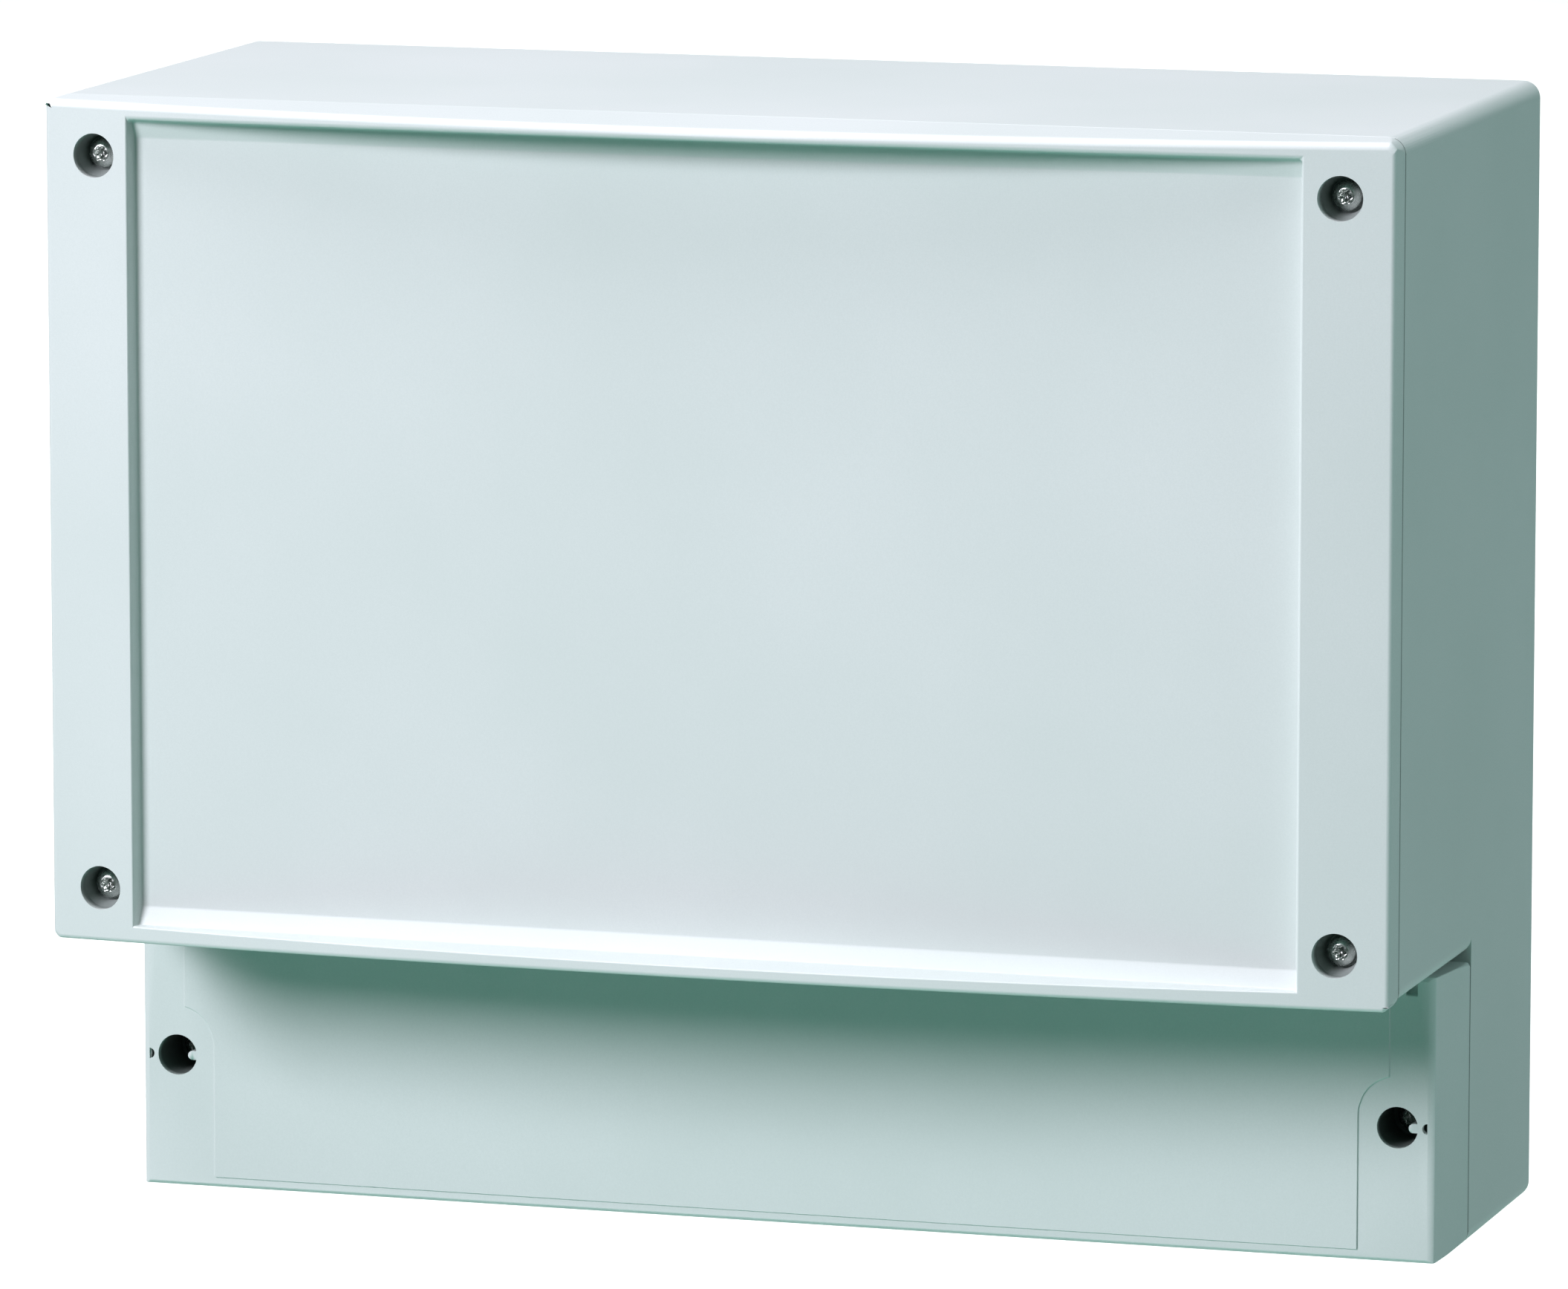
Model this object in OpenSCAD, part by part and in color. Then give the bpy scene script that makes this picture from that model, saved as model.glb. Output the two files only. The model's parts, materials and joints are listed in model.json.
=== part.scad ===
// Wall-mounted fire alarm control panel: a moulded enclosure with a bowed lid, a terminal
// compartment cover below it, and the electronics inside. Millimetres. The back rests on the
// wall plane y = 0, the front faces -y, x runs to the right and z runs up.

/* [Enclosure] */
// Width across the side walls
body_w = 363; // [362:0.5:366]
// Height from the bottom wall to the top wall
body_h = 300; // [299:0.5:302]
// Depth of the back shell from the wall to the lid
shell_d = 145; // [143:0.5:148]
// Height of the deep upper part
upper_h = 222; // [221:0.5:223]
// Depth of the back shell at the terminal compartment
lower_d = 68; // [66:0.5:70]
// Thickness of the side walls
wall = 3.5; // [3.2:0.1:3.6]
// Thickness of the back wall
back_t = 4; // [3.5:0.1:4]
// Radius of the long edges that run front to back
corner_r = 4.5; // [3:0.1:5]

/* [Upper lid] */
// Depth of the lid at its side edges
lid_edge_d = 8.4; // [8.2:0.1:9]
// How far the middle of the front bows forward of the side edges
lid_bow = 11.5; // [10:0.1:13]
// Sideways run of the lid's outer walls for each millimetre of depth
lid_draft = 0.079; // [0.02:0.005:0.1]
// How far the lid's bottom edge hangs below the shell
lid_drop = 1; // [0:0.5:1]
// Screw positions to each side of the middle
screw_x = 167; // [166:0.5:168]
// Distance of the screw holes from the lid's top and bottom edges
screw_inset = 14.9; // [14:0.1:16]
// Radius of the screw holes at the front
screw_hole_r = 5.8; // [5.4:0.1:6.2]

/* [Recess in the lid] */
// Half width of the recess floor
recess_half_w = 156.5; // [150:0.5:157]
// Depth of the recess floor in front of the shell's rim
recess_floor_d = 7.2; // [7:0.1:7.4]
// Distance of the recess floor from the lid's top and bottom edges
recess_inset = 10.15; // [10:0.05:12]
// Height of the sloped bands above and below the floor
bevel_h = 4.8; // [3:0.1:4.8]
// Depth of the sloped bands
bevel_d = 1.5; // [1:0.1:3]
// Slope of the recess's left and right walls
recess_side_slope = 0.25; // [0.1:0.05:0.3]

/* [Terminal cover] */
// Depth of the cover
cover_d = 26; // [24:0.5:30]
// Gap between the cover's top edge and the upper body
cover_gap = 2.2; // [1.5:0.1:3]
// Screw positions to each side of the middle
cover_screw_x = 168.6; // [168:0.1:169]
// Height of the screws above the bottom wall
cover_screw_h = 36; // [34:0.5:38]
// Radius of the screw holes at the front
cover_hole_r = 5.5; // [5:0.1:5.6]
// How far the middle panel stands proud
panel_raise = 0.45; // [0.3:0.05:0.8]

/* [Electronics] */
// Height of the control board in front of the gear plate
board_lift = 67; // [64:1:67]
// Travel of the push buttons
button_travel = 1; // [0.5:0.1:1.2]
// Width of each standby battery
battery_w = 134; // [132:0.5:134]
// Height of each standby battery
battery_h = 60; // [58:1:62]
// Depth of each standby battery
battery_d = 67; // [64:1:67]

/* [Hidden] */
$fn = 64;
cut = 0.5;                               // overshoot of a cutting tool past a face
half_w = body_w / 2;
top_z = body_h / 2;
bot_z = -body_h / 2;
split_z = top_z - upper_h;               // underside of the upper part
lid_z = split_z - lid_drop;              // bottom edge of the lid
part_y = -shell_d;                       // plane where lid and shell meet
rim_y = -lower_d;                        // plane where cover and shell meet
cover_z = split_z - cover_gap;           // top edge of the cover
cover_y = rim_y - cover_d;               // front of the cover
lid_mid_y = part_y - lid_edge_d - lid_bow;
edge_half_w = half_w - lid_draft * lid_edge_d;
bow_r = (edge_half_w * edge_half_w + lid_bow * lid_bow) / (2 * lid_bow);
floor_y = part_y - recess_floor_d;
lid_inner_y = floor_y + 3;               // back of the recess floor
screw_zs = [top_z - screw_inset, lid_z + screw_inset];
cover_screw_z = bot_z + cover_screw_h;

// sealed rims
rim_w = 8;
rim_d = 8;
groove_in = 2.4;                         // groove's outer edge inside the outline
groove_w = 3.2;
groove_d = 3;
tongue_w = 1.6;
tongue_d = 0.8;

// machine screws that hold the lid and the cover
shank_r = 1.95;
insert_r = 3.5;
insert_bore_r = 2;
insert_l = 10;
head_r = 3.85;
head_h = 2.8;
ring_t = 0.8;
clearance_r = 2.75;
lid_tube_d = 3;                          // lid's screw tube reaches this far into the shell
lid_tube_r = 5.5;
lid_seat_y = part_y - 1.3;
cover_tube_y = rim_y - 2;                // where the cover's screw tube meets its post
cover_seat_y = cover_y + 18;
boss_r = 7.5;
cover_boss_r = 6.5;

// gear plate and boards
plate_half_w = 150;
plate_z = [12, 128];
plate_y = [-12, -10.5];
plate_screw_x = 100;
plate_screw_zs = [15.5, 124.5];
pillar_xs = [-144, 0, 144];
pillar_zs = [20, 120];
board_half_w = 149;
board_z = [14, 126];
board_t = 1.6;
board_back_y = plate_y[0] - board_lift;
board_y = board_back_y - board_t;        // component side of the control board
small_hole_r = 1.5;
small_shank_r = 1.45;

// power supply
psu_x = [-138, -10];
psu_z = [24, 116];
psu_board_y = -21.6;
psu_post_xs = [psu_x[0] + 8, psu_x[1] - 8];
psu_post_zs = [psu_z[0] + 8, psu_z[1] - 8];
core_x = [-96, -62];
core_z = [54, 88];
core_y = [-49.6, -24.6];
core_leg = 7;                            // width of the core's legs
core_mid_x = (core_x[0] + core_x[1]) / 2;

// lamps and fuses on the control board
led_x = -131;
led_z = 60;
led_pitch = 13;
led_r = 2.5;
fuse_x = [-84, -64];
fuse_y = board_y - 6;
fuse_zs = [86, 96, 106];
fuse_r = 2.6;

// standby batteries
battery_back_y = -back_t;
battery_front_y = battery_back_y - battery_d;
battery_low_z = split_z + wall;
battery_top_z = battery_low_z + battery_h;
battery_in_x = 1;
strap_post_x = 139.5;
strap_z = battery_low_z + battery_h / 2;
strap_t = 1.2;

// push buttons, from left to right
button_xs = [-120, -96, -72, -48];
button_z = 36;
button_base_h = 4.3;
button_bore_r = 3.4;
button_stem_r = 3.35;
button_gap = 2.1;

// key switch
key_x = 120;
key_z = 42;
key_body_h = 23;
key_bore_r = 6.05;
key_barrel_r = 6;

// lid switch
tamper_x = 60;
tamper_z = 136;
tamper_shelf_y = -126;
tamper_body_d = 12;
plunger_r = 1.5;

// terminal compartment
field_y = -18;                           // back of the terminal board
field_x = [-60, 152];
field_z = [-120, -86];
field_post_xs = [-54, 146];
field_post_zs = [-115, -91];
field_block_n = 9;
field_block_w = 20;
field_block_x = -44;
field_block_h = 16;
field_front_y = field_y - board_t;
field_way_xs = [for (i = [0 : field_block_n - 1], way = [5, 15]) field_block_x + i * field_block_w + way];
field_screw_z = -100;
mains_x = [-150, -96];
mains_z = [-110, -82];
mains_y = [-34, -10];
carrier_x = [-149, -135];
pivot_y = -38;
pivot_z = -106;
pivot_r = 1.5;
pivot_bore_r = 1.55;
carrier_mid_x = (carrier_x[0] + carrier_x[1]) / 2;
mains_fuse_r = 2.6;
mains_fuse_l = 15;
mains_fuse_z = pivot_z + 2.6;
earth_x = [-150, -96];
earth_z = [-126, -118];
earth_y = [-20, -14];
earth_mid_z = (earth_z[0] + earth_z[1]) / 2;
earth_screw_xs = [for (i = [0 : 4]) earth_x[0] + 7 + i * 10];
entry_xs = [-120, -80, -40, 0, 40, 80, 120];
entry_y = -36;
entry_r = 10.2;
pass_x = 151;
pass_y = -30;
pass_r = 7.5;
fix_x = 130;
fix_z = 138;
fix_r = 3;
fix_boss_r = 8;
fix_boss_y = -8;

// ---- shape helpers ----

// Box between two x, two y and two z values
module block(xs, ys, zs) {
    translate([xs[0], ys[0], zs[0]])
        cube([xs[1] - xs[0], ys[1] - ys[0], zs[1] - zs[0]]);
}

// Extrude a profile drawn in x and z between two depths
module along_y(ys) {
    translate([0, ys[1], 0])
        rotate([90, 0, 0])
            linear_extrude(ys[1] - ys[0])
                children();
}

// Extrude a profile drawn in y and z from side to side
module along_x(xs) {
    translate([xs[0], 0, 0])
        rotate([90, 0, 90])
            linear_extrude(xs[1] - xs[0])
                children();
}

// Rod along y, centred on x and z
module rod(x, z, r, ys) {
    translate([x, ys[1], z])
        rotate([90, 0, 0])
            cylinder(r = r, h = ys[1] - ys[0]);
}

// Cone along y, with its front radius first
module cone(x, z, r_front, r_back, ys) {
    translate([x, ys[1], z])
        rotate([90, 0, 0])
            cylinder(r1 = r_back, r2 = r_front, h = ys[1] - ys[0]);
}

// Rod along x, centred on y and z
module cross_rod(y, z, r, xs) {
    translate([xs[0], y, z])
        rotate([0, 90, 0])
            cylinder(r = r, h = xs[1] - xs[0]);
}

// Rectangle with its lower and upper corners rounded separately
module round_rect(xs, zs, r_low, r_high) {
    low = max(r_low, 0.01);
    high = max(r_high, 0.01);
    union() {
        translate([xs[0] + low, zs[0]])
            square([xs[1] - xs[0] - 2 * low, low]);
        translate([xs[0], zs[0] + low])
            square([xs[1] - xs[0], zs[1] - zs[0] - low - high]);
        translate([xs[0] + high, zs[1] - high])
            square([xs[1] - xs[0] - 2 * high, high]);
        for (x = [xs[0] + low, xs[1] - low])
            translate([x, zs[0] + low])
                circle(low);
        for (x = [xs[0] + high, xs[1] - high])
            translate([x, zs[1] - high])
                circle(high);
    }
}

// Rectangle inside the enclosure's outline by a margin
module outline(zs, margin, r_low, r_high) {
    round_rect([-half_w + margin, half_w - margin], [zs[0] + margin, zs[1] - margin], r_low, r_high);
}

// Closed band between two margins inside an outline
module band(zs, margin, width) {
    difference() {
        outline(zs, margin, 2, 2);
        outline(zs, margin + width, 1, 1);
    }
}

// Domed screw with a cross recess: its head sits on seat_y and its shank runs back to tip_y
module screw(x, z, seat_y, tip_y, r_head, h_head, r_shank) {
    dome_h = h_head * 0.55;
    dome_r = (r_head * r_head + dome_h * dome_h) / (2 * dome_h);
    recess_w = r_head * 0.28;
    recess_l = r_head * 1.25;
    difference() {
        union() {
            rod(x, z, r_shank, [seat_y - cut, tip_y]);
            intersection() {
                rod(x, z, r_head, [seat_y - h_head, seat_y]);
                translate([x, seat_y - h_head + dome_r, z])
                    rotate([90, 0, 0])
                        sphere(dome_r);
            }
        }
        for (turn = [0, 90])
            translate([x, seat_y - h_head, z])
                rotate([0, turn, 0])
                    cube([recess_l, h_head * 1.3, recess_w], center = true);
    }
}

// ---- enclosure ----

module upper_solid() {
    along_y([part_y, 0])
        outline([split_z, top_z], 0, corner_r, corner_r);
}

module lower_solid() {
    along_y([rim_y, 0])
        round_rect([-half_w, half_w], [bot_z, split_z + 3 * corner_r], corner_r, 0);
}

// Frame that thickens an open rim inwards
module rim_frame(ys, zs, inner_zs) {
    along_y(ys)
        difference() {
            outline(zs, 0, corner_r, zs[1] == top_z ? corner_r : 0);
            translate([-half_w + rim_w, inner_zs[0]])
                square([body_w - 2 * rim_w, inner_zs[1] - inner_zs[0]]);
        }
}

module shell_posts() {
    for (side = [-1, 1]) {
        for (z = screw_zs) {
            rod(side * screw_x, z, boss_r, [part_y + lid_tube_d, -back_t + cut]);
            translate([side > 0 ? screw_x : -half_w + 1, part_y + rim_d - 1, z - 1])
                cube([half_w - screw_x - 1, shell_d - rim_d - back_t + 2, 2]);
        }
        rod(side * cover_screw_x, cover_screw_z, cover_boss_r, [cover_tube_y, -back_t + cut]);
        rod(side * strap_post_x, strap_z, 4, [battery_front_y, -back_t + cut]);
        for (z = plate_screw_zs)
            rod(side * plate_screw_x, z, 5, [plate_y[1], -back_t + cut]);
        for (z = [-fix_z, fix_z])
            rod(side * fix_x, z, fix_boss_r, [fix_boss_y, -back_t + cut]);
    }
    for (x = field_post_xs, z = field_post_zs)
        rod(x, z, 4, [field_y, -back_t + cut]);
    for (x = [earth_x[0] + 6, earth_x[1] - 6])
        rod(x, earth_mid_z, 4, [earth_y[1], -back_t + cut]);
    block(mains_x, [mains_y[1], -back_t + cut], mains_z);
    block([-battery_w, battery_w], [battery_front_y - 2.5, battery_front_y - 0.5],
          [battery_low_z - 1, battery_low_z + 5]);
    block([tamper_x - 10, tamper_x + 10], [tamper_shelf_y, tamper_shelf_y + 5],
          [tamper_z - 5, top_z - wall + 1]);
}

module shell_bores() {
    for (side = [-1, 1]) {
        for (z = screw_zs) {
            rod(side * screw_x, z, insert_r, [part_y + lid_tube_d - cut, part_y + lid_tube_d + insert_l]);
            rod(side * screw_x, z, 2.2, [part_y + lid_tube_d, part_y + lid_tube_d + insert_l + 4]);
            rod(side * screw_x, z, 4.6, [part_y + lid_tube_d + insert_l + 8, cut]);
        }
        rod(side * cover_screw_x, cover_screw_z, insert_r, [cover_tube_y - cut, cover_tube_y + insert_l]);
        rod(side * cover_screw_x, cover_screw_z, 2.2, [cover_tube_y, cover_tube_y + insert_l + 3]);
        rod(side * cover_screw_x, cover_screw_z, 3.9, [cover_tube_y + insert_l + 6, cut]);
        rod(side * strap_post_x, strap_z, small_hole_r, [battery_front_y - cut, battery_front_y + 10]);
        for (z = plate_screw_zs)
            rod(side * plate_screw_x, z, small_hole_r, [plate_y[1] - cut, plate_y[1] + 7.5]);
        for (z = [-fix_z, fix_z])
            rod(side * fix_x, z, fix_r, [fix_boss_y - cut, cut]);
        translate([side * pass_x, pass_y, split_z - cut])
            cylinder(r = pass_r, h = wall + 2 * cut);
    }
    for (x = field_post_xs, z = field_post_zs)
        rod(x, z, small_hole_r, [field_y - cut, field_y + 10]);
    for (x = entry_xs)
        translate([x, entry_y, bot_z - cut])
            cylinder(r = entry_r, h = wall + 2 * cut);
}

module back_shell() {
    inner = half_w - wall;
    color("gainsboro")
        difference() {
            union() {
                difference() {
                    union() {
                        upper_solid();
                        lower_solid();
                    }
                    block([-inner, inner], [part_y - cut, -back_t], [split_z + wall, top_z - wall]);
                    block([-inner, inner], [rim_y - cut, -back_t], [bot_z + wall, split_z]);
                }
                rim_frame([part_y, part_y + rim_d], [split_z, top_z], [split_z + rim_w, top_z - rim_w]);
                rim_frame([rim_y, rim_y + rim_d], [bot_z, split_z + 1], [bot_z + rim_w, cover_z - rim_w]);
                shell_posts();
            }
            along_y([part_y - cut, part_y + groove_d])
                band([split_z, top_z], groove_in, groove_w);
            along_y([rim_y - cut, rim_y + groove_d])
                band([bot_z, cover_z], groove_in, groove_w);
            shell_bores();
        }
}

// Outside of the lid: drafted walls under a bowed front
module lid_solid() {
    reach = lid_edge_d + lid_bow + 1;
    inset = lid_draft * reach;
    intersection() {
        along_y([part_y - reach, part_y])
            outline([lid_z, top_z], 0, corner_r, corner_r);
        translate([0, 0, lid_z - 1])
            linear_extrude(top_z - lid_z + 2)
                polygon([[-half_w, part_y], [half_w, part_y],
                         [half_w - inset, part_y - reach], [-half_w + inset, part_y - reach]]);
        along_x([-half_w - 1, half_w + 1])
            polygon([[part_y, lid_z], [part_y - reach, lid_z + inset],
                     [part_y - reach, top_z - inset], [part_y, top_z]]);
        translate([0, lid_mid_y + bow_r, lid_z - 1])
            cylinder(r = bow_r, h = top_z - lid_z + 2, $fn = 720);
    }
}

// Recess: flat floor, sloped bands above and below, then walls that open to the front
module recess() {
    low_z = lid_z + recess_inset;
    high_z = top_z - recess_inset;
    front_y = lid_mid_y - 1;
    band_y = floor_y - bevel_d;
    flare = 0.058 * (band_y - front_y);
    side = recess_side_slope * (floor_y - front_y);
    intersection() {
        along_x([-half_w, half_w])
            polygon([[floor_y, low_z], [band_y, low_z - bevel_h], [front_y, low_z - bevel_h - flare],
                     [front_y, high_z + bevel_h + flare], [band_y, high_z + bevel_h], [floor_y, high_z]]);
        translate([0, 0, lid_z])
            linear_extrude(top_z - lid_z)
                polygon([[-recess_half_w, floor_y], [recess_half_w, floor_y],
                         [recess_half_w + side, front_y], [-recess_half_w - side, front_y]]);
    }
}

module upper_lid() {
    color("gainsboro")
        difference() {
            union() {
                lid_solid();
                along_y([part_y - cut, part_y + tongue_d])
                    band([split_z, top_z], groove_in + (groove_w - tongue_w) / 2, tongue_w);
                for (x = [-screw_x, screw_x], z = screw_zs)
                    rod(x, z, lid_tube_r, [part_y - cut, part_y + lid_tube_d]);
            }
            recess();
            block([-recess_half_w - 1, recess_half_w + 1], [lid_inner_y, part_y + cut],
                  [lid_z + 11.2, top_z - 11]);
            for (side = [-1, 1])
                block([side * 165.5 - 6, side * 165.5 + 6], [lid_inner_y - 1.8, part_y + cut],
                      [screw_zs[1] + 13, screw_zs[0] - 13]);
            for (x = [-screw_x, screw_x], z = screw_zs) {
                rod(x, z, screw_hole_r, [lid_mid_y, lid_seat_y - 4.7]);
                cone(x, z, screw_hole_r, 4.4, [lid_seat_y - 4.71, lid_seat_y]);
                rod(x, z, clearance_r, [lid_seat_y - cut, part_y + lid_tube_d + cut]);
            }
        }
}

module lid_gasket() {
    color("dimgray")
        along_y([part_y + tongue_d, part_y + groove_d])
            band([split_z, top_z], groove_in, groove_w);
}

// Panel in the middle of the cover that steps round the screw holes
module raised_panel() {
    half_high = 166.4;
    half_low = 158.1;
    arc_r = cover_screw_x - half_low;
    arc_z = cover_screw_z + 3;
    difference() {
        translate([-half_high, bot_z + 3.2])
            square([2 * half_high, cover_z - bot_z - 3.2]);
        for (side = [-1, 1]) {
            translate([side * cover_screw_x, arc_z])
                circle(arc_r);
            translate([side > 0 ? half_low : -half_low - 2 * arc_r, bot_z])
                square([2 * arc_r, arc_z - bot_z]);
        }
    }
}

module cover_solid() {
    front_half = 176.7;
    side_half = 178.4;
    chamfer = 1.4;
    intersection() {
        along_y([cover_y, rim_y])
            outline([bot_z, cover_z], 0, corner_r, 1.5);
        translate([0, 0, bot_z - 1])
            linear_extrude(cover_z - bot_z + 2)
                polygon([[-half_w, rim_y], [half_w, rim_y], [side_half, cover_y + chamfer],
                         [front_half, cover_y], [-front_half, cover_y], [-side_half, cover_y + chamfer]]);
        along_x([-half_w - 1, half_w + 1])
            polygon([[rim_y, bot_z], [cover_y + 1, bot_z + 0.3], [cover_y, bot_z + 1.2],
                     [cover_y, cover_z - 0.8], [cover_y + 0.8, cover_z], [rim_y, cover_z]]);
    }
}

module terminal_cover() {
    nib_l = 2.5;
    nib_r = 1.2;
    inner = 174.6;
    color("gainsboro")
        difference() {
            union() {
                difference() {
                    union() {
                        cover_solid();
                        along_y([cover_y - panel_raise, cover_y + cut])
                            raised_panel();
                    }
                    block([-inner, inner], [cover_y + 3, rim_y - 4], [bot_z + wall, cover_z - wall]);
                    block([-half_w + rim_w, half_w - rim_w], [rim_y - 4 - cut, rim_y + cut],
                          [bot_z + rim_w, cover_z - rim_w]);
                }
                for (side = [-1, 1])
                    rod(side * cover_screw_x, cover_screw_z, 7, [cover_y + 1, cover_tube_y]);
                along_y([rim_y - cut, rim_y + tongue_d])
                    band([bot_z, cover_z], groove_in + (groove_w - tongue_w) / 2, tongue_w);
            }
            for (side = [-1, 1]) {
                x = side * cover_screw_x;
                rod(x, cover_screw_z, clearance_r, [cover_seat_y - cut, cover_tube_y + cut]);
                rod(x, cover_screw_z, 7.3, [cover_tube_y, rim_y + tongue_d + cut]);
                along_y([cover_y - 1, cover_seat_y])
                    difference() {
                        translate([x, cover_screw_z])
                            circle(cover_hole_r);
                        translate([x + cover_hole_r - nib_l + nib_r, cover_screw_z])
                            union() {
                                circle(nib_r);
                                translate([0, -nib_r])
                                    square([nib_l, 2 * nib_r]);
                            }
                    }
                rod(x, cover_screw_z, cover_hole_r, [cover_y + 5, cover_seat_y]);
                along_y([cover_y - 1, cover_y + 2.5])
                    intersection() {
                        translate([side * 176.6, cover_screw_z])
                            circle(1.4);
                        translate([side * 176.6 - (side > 0 ? 3 : 0), cover_screw_z - 3])
                            square([3, 6]);
                    }
                block([side * 172.1 - 1.5, side * 172.1 + 1.5], [cover_y - 1, cover_y + 2.5],
                      [cover_z - 4.8, cover_z + 1]);
            }
        }
}

module cover_gasket() {
    color("dimgray")
        along_y([rim_y + tongue_d, rim_y + groove_d])
            band([bot_z, cover_z], groove_in, groove_w);
}

module lid_screw(side, row) {
    color("lightgray")
        screw(side * screw_x, screw_zs[row], lid_seat_y - ring_t, part_y + lid_tube_d + insert_l - 1,
              head_r, head_h, shank_r);
}

module cover_screw(side) {
    color("lightgray")
        screw(side * cover_screw_x, cover_screw_z, cover_seat_y - ring_t,
              cover_tube_y + insert_l - 1, head_r, head_h, shank_r);
}

module screw_ring(x, z, seat_y) {
    difference() {
        rod(x, z, 3.5, [seat_y - ring_t, seat_y]);
        rod(x, z, 2.3, [seat_y - 1, seat_y + 1]);
    }
}

module lid_screw_rings() {
    color("dimgray")
        for (x = [-screw_x, screw_x], z = screw_zs)
            screw_ring(x, z, lid_seat_y);
}

module cover_screw_rings() {
    color("dimgray")
        for (x = [-cover_screw_x, cover_screw_x])
            screw_ring(x, cover_screw_z, cover_seat_y);
}

module insert(x, z, mouth_y) {
    difference() {
        rod(x, z, insert_r, [mouth_y, mouth_y + insert_l]);
        rod(x, z, insert_bore_r, [mouth_y - cut, mouth_y + insert_l + cut]);
    }
}

module thread_inserts() {
    color("goldenrod") {
        for (x = [-screw_x, screw_x], z = screw_zs)
            insert(x, z, part_y + lid_tube_d);
        for (x = [-cover_screw_x, cover_screw_x])
            insert(x, cover_screw_z, cover_tube_y);
    }
}

// Membrane plugs in the cable entries of the bottom wall
module entry_grommets() {
    color("dimgray")
        for (x = entry_xs)
            translate([x, entry_y, bot_z])
                difference() {
                    union() {
                        cylinder(r = entry_r, h = wall);
                        translate([0, 0, wall])
                            cylinder(r = entry_r + 2.5, h = 1.8);
                    }
                    translate([0, 0, -cut])
                        cylinder(r = entry_r - 2.2, h = wall + cut);
                }
}

// Edge protectors where leads pass between the two compartments
module pass_grommets() {
    lip = 1.5;
    color("dimgray")
        for (x = [-pass_x, pass_x])
            translate([x, pass_y, split_z])
                difference() {
                    union() {
                        cylinder(r = pass_r, h = wall);
                        translate([0, 0, wall])
                            cylinder(r = pass_r + 1.2, h = lip);
                        translate([0, 0, -lip])
                            cylinder(r = pass_r + 1.2, h = lip);
                    }
                    translate([0, 0, -lip - cut])
                        cylinder(r = pass_r - 2, h = wall + 2 * lip + 2 * cut);
                }
}

// ---- gear plate and power supply ----

module gear_plate() {
    color("silver")
        along_y(plate_y)
            difference() {
                round_rect([-plate_half_w, plate_half_w], plate_z, 3, 3);
                for (x = [-plate_screw_x, plate_screw_x], z = plate_screw_zs)
                    translate([x, z])
                        circle(1.8);
                for (x = pillar_xs, z = pillar_zs)
                    translate([x, z])
                        circle(1.6);
            }
}

// Screws that hold the gear plate and the battery strap
module plate_screws() {
    color("silver") {
        for (x = [-plate_screw_x, plate_screw_x], z = plate_screw_zs)
            screw(x, z, plate_y[0], plate_y[1] + 5, 3.2, 2.2, small_shank_r);
        for (x = [-strap_post_x, strap_post_x])
            screw(x, strap_z, battery_front_y - strap_t, battery_front_y + 7, 3.2, 2.2, small_shank_r);
    }
}

module board_pillars() {
    color("goldenrod")
        for (x = pillar_xs, z = pillar_zs)
            difference() {
                union() {
                    translate([x, plate_y[0], z])
                        rotate([90, 0, 0])
                            cylinder(r = 3.2, h = board_lift, $fn = 6);
                    rod(x, z, small_shank_r, [plate_y[0] - cut, plate_y[1]]);
                }
                rod(x, z, small_hole_r, [board_back_y - cut, board_back_y + 8]);
            }
}

module psu_tray() {
    t = 1.5;
    depth = 38;
    color("silver")
        difference() {
            union() {
                block(psu_x, [plate_y[0] - t, plate_y[0]], psu_z);
                for (z = [psu_z[0], psu_z[1] - t])
                    block(psu_x, [plate_y[0] - depth, plate_y[0]], [z, z + t]);
                for (x = psu_post_xs, z = psu_post_zs)
                    rod(x, z, 3, [psu_board_y + board_t, plate_y[0] - 1]);
            }
            for (x = psu_post_xs, z = psu_post_zs)
                rod(x, z, small_hole_r, [psu_board_y, psu_board_y + 9]);
            for (x = [psu_x[0] + 24 : 16 : psu_x[1] - 24])
                translate([x - 4, plate_y[0] - depth + 8, psu_z[0] - 1])
                    cube([8, 20, psu_z[1] - psu_z[0] + 2]);
        }
}

module psu_board() {
    color("darkgreen")
        along_y([psu_board_y, psu_board_y + board_t])
            difference() {
                translate([psu_x[0] + 3, psu_z[0] + 3])
                    square([psu_x[1] - psu_x[0] - 6, psu_z[1] - psu_z[0] - 6]);
                for (x = psu_post_xs, z = psu_post_zs)
                    translate([x, z])
                        circle(1.6);
            }
}

// Ferrite frame of the transformer: two legs and two yokes around the winding
module psu_core() {
    window_w = 9;
    window_x = 8;
    color("dimgray")
        difference() {
            block(core_x, core_y, core_z);
            for (x = [core_mid_x - window_x, core_mid_x + window_x])
                block([x - window_w / 2, x + window_w / 2], [core_y[0] - cut, core_y[1] + cut],
                      [core_z[0] + core_leg, core_z[1] - core_leg]);
        }
}

// Taped winding on the core's middle leg, with its feet on the board
module psu_winding() {
    half = 12.3;
    end_gap = 0.4;
    color("gold")
        difference() {
            block([core_mid_x - half, core_mid_x + half], [core_y[0] - 1.6, psu_board_y],
                  [core_z[0] + core_leg + end_gap, core_z[1] - core_leg - end_gap]);
            block([core_mid_x - core_leg / 2, core_mid_x + core_leg / 2], core_y, core_z);
        }
}

module psu_capacitors() {
    color("midnightblue") {
        rod(-118, 70, 11, [-49, psu_board_y]);
        for (z = [42, 56])
            rod(-32, z, 5, [-41, psu_board_y]);
    }
}

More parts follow.
